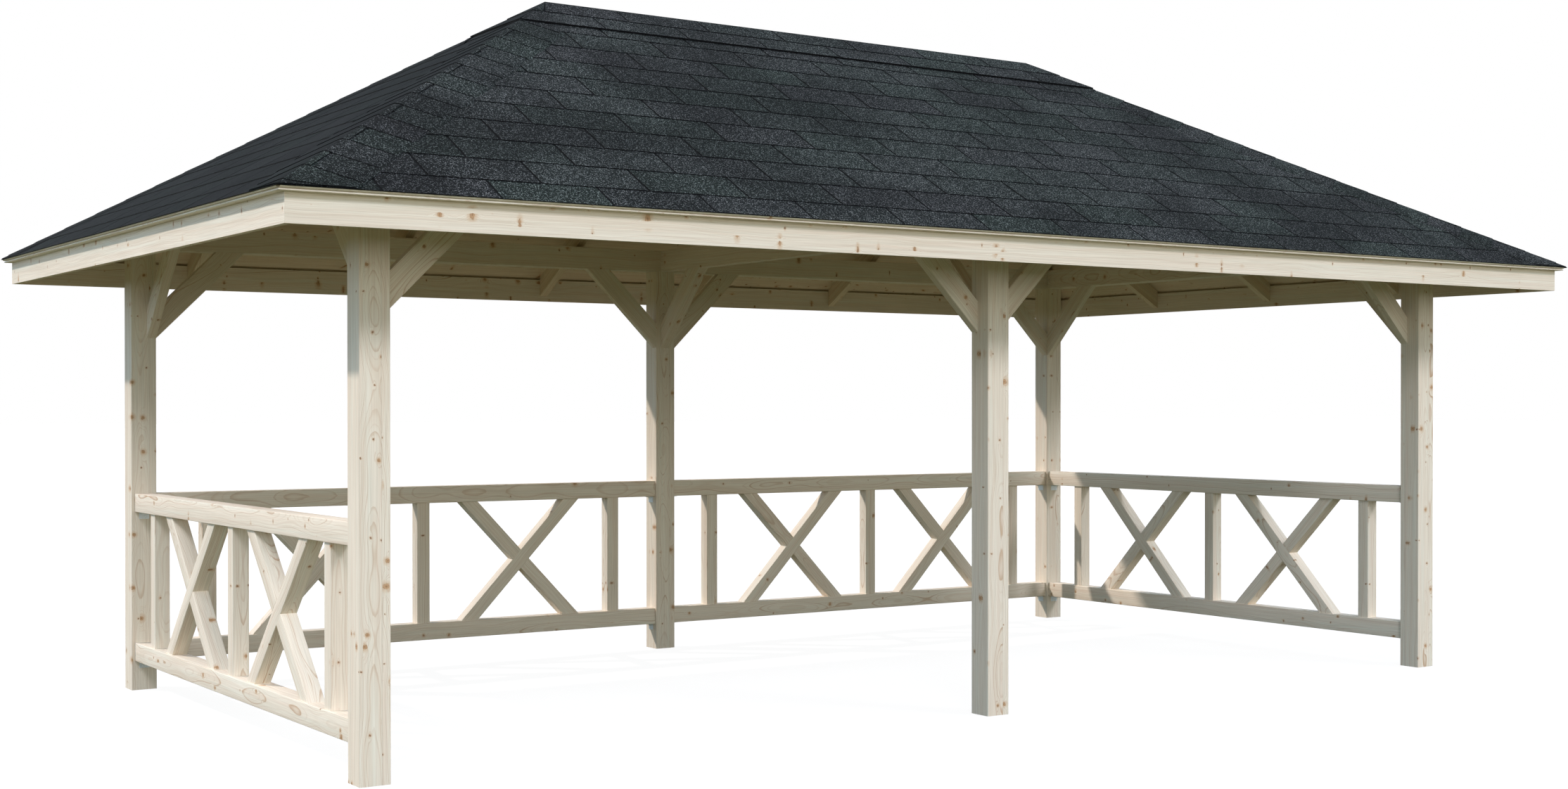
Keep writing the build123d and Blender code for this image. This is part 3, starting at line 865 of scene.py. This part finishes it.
end_grain_and_shade = (0.270, 0.205, 0.140, 1)
for side, axis in four_sides:
    node = f"moulding_{side}"
    tree = dress_laid(node, axis, pith=(0.08, 0.03), ring=0.003, knots=0.6,
                      tint=(1.08, 1.10, 1.14, 1)).node_tree
    # The tip at each mitre is painted dark brown: end grain, with painted shade.
    tip = max(abs(v.co.x) + abs(v.co.y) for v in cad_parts[node].data.vertices)
    x, y, _ = split(object_place(tree))
    out = calc("ABSOLUTE", x) + calc("ABSOLUTE", y)
    base = tree.nodes["Principled BSDF"].inputs["Base Color"]
    grain = Wire(base.links[0].from_socket)
    plug(base, blend(ease(out, tip - 0.0016, tip - 0.0006), grain, end_grain_and_shade))

# Shingles
# Granule-covered bitumen shingles in courses, nailed from the eaves up. Each strip is slit into
# tabs, and the slits stand half a tab on from course to course. The cut edges are painted black,
# partly as their bitumen and partly as painted shade, and the slits are painted black as shade.

first_exposure = 0.157
exposure = 0.203
nail_lap = 0.030
tab_pitch = 0.443
tab_play = 0.006
slit = 0.0100
tab_thick = 0.0036
butt_sag = 0.0011
sheet_under = 0.0220
sheet_top = 0.0224
starter_top = 0.0226
starter_stop = 0.06
course_top = 0.0251
first_lip = 0.0254
butt_lip = 0.029
butt_run = 0.18
sunk_run = 0.14
# The black strip of painted shade under each slit: how far it sinks and how thick it is.
shade_strip_sink = 0.0005
shade_strip_thick = 0.0009
cap_start = 0.86
cover_overhang = -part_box("shingles_front")[0].y - half_y
slope_length = math.hypot(half_y, roof_rise)
slit_shift = {"front": (0.008, 0.232), "back": (0.150, 0.371), "right": (0.060, 0.281),
              "left": (0.110, 0.331)}


def shingle_material():
    """Granules on bitumen: each grain its own grey, some pale, over each tab's own tint.

    On the two end slopes, where the distance past the ridge's end is more than the hip's at
    that depth, a darker streaked tone replaces the granules as painted shade of those slopes,
    and the pale grains, the black of the cut faces and the relief mostly go.
    """
    material, tree, shader = new_material("granule_shingle")
    place = object_place(tree)
    x, y, _ = split(place)
    past = (calc("ABSOLUTE", x) - ridge_half) / hip_run_x - calc("ABSOLUTE", y) / half_y
    end = ease(past, -0.004, 0.004)
    green, violet, light = split(own_value(tree, "tab"))
    cut = own_value(tree, "cut", "Fac")
    body = blend(green * 0.9, (0.0120, 0.0134, 0.0130, 1), (0.0103, 0.0141, 0.0118, 1))
    body = blend(violet * 0.5, body, (0.0134, 0.0128, 0.0136, 1))
    patch = noise(place, 1.6, 3.0, 0.55)
    shade = (light * 0.36 + 0.78) * ease(patch, 0.36, 0.62, 0.64, 1.24)
    (lot, other, _), _ = cells(place, 310.0)
    clump = noise(place, 210.0, 2.0, 0.75)
    grey = (lot * lot * 2.3 + 0.24) * ease(clump, 0.38, 0.62, 0.30, 1.75)
    # On the end slopes a darker streaked tone takes over: painted shade of those slopes.
    drawn = vector_calc("MULTIPLY", place, (4.0, 26.0, 4.0))
    streak = ease(noise(drawn, 1.0, 3.0, 0.6), 0.30, 0.70, 0.22, 0.54)
    tone = (grey + end * (streak - grey)) * shade
    colour = blend(1.0, body, join(tone, tone, tone), "MULTIPLY")
    pale = ease(other, 0.88, 0.91) * (end * -0.95 + 1.0) * ease(patch, 0.36, 0.62, 0.55, 1.0)
    grit = blend(green, (0.196, 0.202, 0.201, 1), (0.180, 0.207, 0.195, 1))
    grit = blend(violet * 0.5, grit, (0.200, 0.194, 0.206, 1))
    colour = blend(pale * 0.90, colour, grit)
    # Faces marked cut are painted near black: the bitumen of cut edges, and painted shade in slits
    # and under rims.
    colour = blend(cut * (end * -0.86 + 1.0), colour, (0.0035, 0.0036, 0.0040, 1))
    feed(shader, Base_Color=colour, Roughness=lot * 0.10 + 0.88, Specular_IOR_Level=0.10,
         Normal=relief(lot, end * -0.6 + 0.7, 0.0012))
    return material


shingle = shingle_material()


def lay_shingles(name, rings, nodes):
    """Shingle bars joined into one piece, each with a tint; all faces but the tops are marked cut
    and painted black, partly as cut bitumen and partly as painted shade.
    """
    shapes, tints, cuts = [], [], []
    for start, end, top_corners in rings:
        bars, corners = start.shape[:2]
        shapes.append(prisms(start, end))
        lots = np.stack([rng.beta(0.6, 0.6, bars), rng.beta(0.4, 1.6, bars),
                         rng.uniform(0, 1, bars)], 1)
        tints.append(np.repeat(lots, 2 * corners, 0))
        # Every face but the tops is marked: cut bitumen, and painted shade where it stands in for
        # dark slits.
        cut_and_shaded = ~np.isin(np.arange(corners), top_corners)
        cuts.append(np.concatenate([np.tile(cut_and_shaded, bars), np.ones(2 * bars, bool)]))
    piece = make_piece(name, *gather(shapes), shingle, "shingle", nodes, 30,
                       tab=np.concatenate(tints))
    piece.data.attributes.new("cut", "FLOAT", "FACE").data.foreach_set(
        "value", np.concatenate(cuts).astype(np.float32))


def course_shares():
    """Height shares of the butt lines, the same on all four slopes, so that courses meet."""
    edge = -cover_overhang / half_y
    count = math.ceil(((1 - edge) * slope_length - first_exposure) / exposure)
    shares = [edge] + [edge + (first_exposure + exposure * k) / slope_length for k in range(count)]
    return [share for share in shares if share < cap_start]


def tabs_between(shift, reach):
    """Left and right edges of the tabs of a course, with the slit between and a small lot."""
    numbers = np.arange(math.floor((-reach - shift) / tab_pitch) - 1,
                        math.ceil((reach - shift) / tab_pitch) + 2)
    marks = shift + tab_pitch * numbers + rng.uniform(-tab_play, tab_play, len(numbers))
    left, right = marks[:-1] + slit / 2, marks[1:] - slit / 2
    kept = (right > -reach) & (left < reach)
    return left[kept], right[kept]


def bars_on(side, left, right, section, top_corners, left_drop=0.0, right_drop=0.0):
    """Bars from the left to the right edges on a slope; the section is in (share, lift)."""
    section = np.array(section)
    start = on_slope(side, left[:, None], section[:, 0], section[:, 1] + left_drop)
    end = on_slope(side, right[:, None], section[:, 0], section[:, 1] + right_drop)
    return start, end, top_corners


shares = course_shares()
for side, (_, half_eaves, _, run, _) in slopes.items():
    length = math.hypot(run, roof_rise)
    edge = -cover_overhang / run
    past_hip = np.array([half_eaves + 0.1])
    rings = [bars_on(side, -past_hip, past_hip,
                     [[edge, sheet_under], [starter_stop, sheet_under],
                      [starter_stop, starter_top], [edge, starter_top]], (2,))]
    for number, share in enumerate(shares):
        low, above = (share, share + exposure / slope_length) if number else (edge, shares[1])
        stop = min(above + (exposure + nail_lap) / length, 1.0)
        sunk = min(above + sunk_run / length, stop)
        lip, bed = (butt_lip, course_top) if number else (first_lip, starter_top)
        left, right = tabs_between(slit_shift[side][number % 2], half_width(side, low))
        # Only the exposed top keeps its granules. The overlapped tops, seen only through the slits,
        # are painted black as shade, and the butt edge black as its bitumen and painted shade under
        # it.
        section = [[low, max(lip - tab_thick, starter_top)], [low + butt_run / length, sheet_under],
                   [stop, sheet_under], [stop, sheet_top], [sunk, sheet_top], [above, course_top],
                   [low, lip]]
        sag = rng.uniform(-butt_sag, 0.0, (len(left), 2))
        at_butt = np.array([1, 0, 0, 0, 0, 0, 1.0])
        rings.append(bars_on(side, left, right, section, (5,), sag[:, :1] * at_butt,
                             sag[:, 1:] * at_butt))

        # A thin black strip under each slit, on the course below: painted shade for the dark of the
        # narrow slit
        inside = half_width(side, above) - slit
        seen = (right[:-1] > -inside) & (left[1:] < inside)
        level = low + sunk_run / length
        under = sheet_top - shade_strip_sink
        over = under + shade_strip_thick
        section = [[low, bed - shade_strip_sink], [level, under], [above, under], [above, over],
                   [level, over], [low, bed - shade_strip_sink + shade_strip_thick]]
        rings.append(bars_on(side, right[:-1][seen], left[1:][seen], section, ()))
    lay_shingles(f"shingle_courses_{side}", rings, [f"shingles_{side}"])

# Hip caps
# Single shingle tabs bent over the four hips from the eaves up, each covering the nails of the
# one below. Every second one has its slit beside the fold.

hip_exposure = 0.176
cap_half = 0.218
cap_trim = 0.016
cap_lap = 0.060
first_butt = 0.053
butt_play = 0.006
cap_thick = 0.0028
cap_foot = 0.0262
cap_thin = 0.0266
cap_top = 0.0324
cap_slit = 0.029
slit_play = 0.004
least_run = 0.004
cap_bevel = 0.014
bevel_starts = 0.1
fold_drop = 0.0022
fold_width = 0.009
fold_marks = (-0.12, -0.02, -0.007, 0.0, 0.007, 0.02, 0.12)
lid_edge = 0.272
lid_share = 1 - lid_edge / half_y
under_lid = 0.02


def cap_bar(corner, heading, wings, side_edges, bounds, butt, stop):
    """One bent bar of a hip cap between two distances across the fold.

    A point stands its distance along the hip from the eaves corner, its distance out on the
    wing on its side of the fold, and its plumb lift, which drops towards the next cap and
    drops as a bell curve over the fold. The lower end is held above the eaves edge.
    """
    marks = (bounds[0] + cap_bevel, *fold_marks, bounds[1] - cap_bevel)
    out = np.array(sorted({*bounds, *[d for d in marks if bounds[0] < d < bounds[1]]}))
    wing = np.where(out[:, None] < 0, wings[0], wings[1])
    eaves = np.abs(out) * np.where(out < 0, *side_edges)
    low = np.maximum(butt, eaves)
    fold = fold_drop * np.exp(-(out / fold_width) ** 2)
    at_end = (out == bounds[0]) | (out == bounds[1])
    full = np.where((np.abs(out) > bevel_starts) & at_end, 0.0, 1.0)
    rings = []
    for along in (low, np.full(len(out), stop)):
        lift = cap_top - cap_thick * (along - butt) / hip_exposure
        flat = corner + along[:, None] * heading + np.abs(out)[:, None] * wing
        top = flat + np.outer(cap_thin + (lift - cap_thin) * full - fold, (0, 0, 1))
        foot = flat + np.outer(cap_foot - fold, (0, 0, 1))
        rings.append(np.concatenate([top, foot[::-1]]))
    start, end = rings
    middle = start.mean(0)
    count = len(out)
    tops = range(count - 1)
    if np.cross(start[0] - middle, start[1] - middle) @ heading < 0:
        start, end = start[::-1], end[::-1]
        tops = range(count, 2 * count - 1)
    return start[None], end[None], tuple(tops)


edge_share = -cover_overhang / half_y
hip_bars = []
for sx, sy in ((-1, -1), (-1, 1), (1, -1), (1, 1)):
    climb = np.array([-sx * hip_run_x, -sy * half_y, roof_rise])
    corner = np.array([sx * half_x, sy * half_y, eaves_z]) + climb * edge_share
    hip_length = np.linalg.norm(climb)
    heading = climb / hip_length
    wings, side_edges = [], []
    for level in ((0.0, -sy, 0.0), (-sx, 0.0, 0.0)):
        wing = unit(level - heading * (heading @ level))
        wings.append(wing)
        side_edges.append(-wing[2] / heading[2])
    stop_all = hip_length * (lid_share - edge_share) + under_lid
    butts = np.arange(-1, 20) * hip_exposure + first_butt
    for number, butt in enumerate(butts[butts < stop_all - under_lid]):
        butt = butt + rng.uniform(-butt_play, butt_play)
        stop = min(butt + hip_exposure + cap_lap, stop_all)
        reach = [min(cap_half - rng.uniform(0, cap_trim), (stop - least_run) / ratio)
                 for ratio in side_edges]
        spans = [(-reach[0], reach[1])]
        if number % 2 == 0 and number > 0:
            slit_at = cap_slit + rng.uniform(-slit_play, slit_play)
            spans = [(-reach[0], slit_at - slit / 2), (slit_at + slit / 2, reach[1])]
        for span in spans:
            hip_bars.append(cap_bar(corner, heading, wings, side_edges, span, butt, stop))
lay_shingles("hip_cap_tabs", hip_bars, ["hip_caps"])

# Ridge lid
# A raised lid over the ridge, two courses of tabs on a stiff base, its edge standing clear of
# the slopes below with a thick black rim: the base and the tab edges are painted black, partly
# as cut bitumen and partly as painted shade under the raised edge.

lid_middle = 0.9325
lid_base = 0.0290
lid_body = 0.0335
lid_rim = 0.0370
lid_lap = 0.03
lid_shift = (0.040, 0.232)
lid_bars = []
for side, (*_, half_top) in slopes.items():
    limit = np.array([half_width(side, lid_share)])
    # The base is painted black all over; where its edge shows, that is painted shade under the lid.
    slab = [[lid_share, lid_base], [1, lid_base], [1, lid_body - 0.0005], [lid_share, lid_body]]
    lid_bars.append(bars_on(side, -limit, limit, slab, ()))
    for number, (low, stop) in enumerate(((lid_share, lid_middle), (lid_middle, 1.0))):
        left, right = tabs_between(lid_shift[number], limit[0]) if half_top else (-limit, limit)
        past = min(stop + lid_lap / half_y, 1.0)
        section = [[low, lid_body - 0.0010], [past, lid_body - 0.0020],
                   [past, lid_body - 0.0010 if past < 1 else lid_body + 0.0004], [low, lid_rim]]
        lid_bars.append(bars_on(side, left, right, section, (2,)))
lay_shingles("ridge_lid", lid_bars, ["ridge_cap"])

# Stage, light and camera
# A plain pale floor that hardly shows its shadows, a sun from the back left, two broad soft
# lights from the front, and a pale surround that is brighter low in front and bluer on the left.

floor_reach = 150.0
floor_mesh = bpy.data.meshes.new("floor")
floor_mesh.from_pydata([(x * floor_reach, y * floor_reach, -0.001)
                        for x, y in ((-1, -1), (1, -1), (1, 1), (-1, 1))], [], [(0, 1, 2, 3)])
add_object("floor", floor_mesh)


def camera_ray(tree):
    """1 where the camera looks straight at a surface, 0 for light that comes by way of it."""
    return Wire(new_node(tree, "LightPath").outputs["Is Camera Ray"])


floor_paint, tree, shader = new_material("floor_paint")
direct = camera_ray(tree)
feed(shader, Base_Color=blend(direct, (0.112, 0.112, 0.056, 1), (0.10, 0.10, 0.10, 1)),
     Roughness=1.0, Specular_IOR_Level=0.0, Emission_Color=(1.0, 1.0, 1.0, 1),
     Emission_Strength=direct * 0.94)
floor_mesh.materials.append(floor_paint)

for light_name, toward, energy, spread, tone in (
        ("sun", (-0.559, 0.516, 0.649), 2.75, 2.0, (1.0, 0.90, 0.84)),
        ("front_right", (0.414, -0.763, 0.640), 1.19, 13.0, (0.89, 0.885, 0.955)),
        ("front_left", (-0.414, -0.763, 0.640), 0.85, 13.0, (0.89, 0.885, 0.955))):
    light_data = bpy.data.lights.new(light_name, "SUN")
    light_data.energy = energy
    light_data.angle = math.radians(spread)
    light_data.color = tone
    light = add_object(light_name, light_data)
    light.rotation_euler = Vector(toward).to_track_quat("Z", "Y").to_euler()

world = bpy.data.worlds.new("surround")
bpy.context.scene.world = world
world.use_nodes = True
tree = world.node_tree
aside, ahead, up = split(Wire(new_node(tree, "TexCoord").outputs["Generated"]))
sky = blend(ease(up, 0.0, 0.55), (1.00, 1.12, 1.22, 1), (0.46, 0.62, 0.80, 1))
sky = blend(ease(ahead, -0.35, -0.90) * ease(up, 0.45, 0.10), sky, (1.70, 1.67, 1.50, 1))
sky = blend(ease(aside, -0.2, -0.9), sky, (1.00, 1.10, 1.20, 1), "MULTIPLY")
feed(tree.nodes["Background"], Color=blend(camera_ray(tree), sky, (1.0, 1.0, 1.0, 1)))
bpy.context.scene.view_settings.view_transform = "Standard"

photo_width = 2229
photo_height = 1122
focal_pixels = 2836.8
middle_x = 1235.8
middle_y = 596.5
camera_down = 0.0066
camera_turn = -0.6118
camera_data = bpy.data.cameras.new("camera")
camera_data.sensor_width = 36.0
camera_data.lens = focal_pixels / photo_width * camera_data.sensor_width
camera_data.shift_x = (photo_width / 2 - middle_x) / photo_width
camera_data.shift_y = (middle_y - photo_height / 2) / photo_width
camera_data.clip_end = 500.0
camera = add_object("camera", camera_data)
camera.location = (-5.6501, -8.6306, 1.3967)
camera.rotation_euler = (math.pi / 2 - camera_down, 0.0, camera_turn)
bpy.context.scene.camera = camera
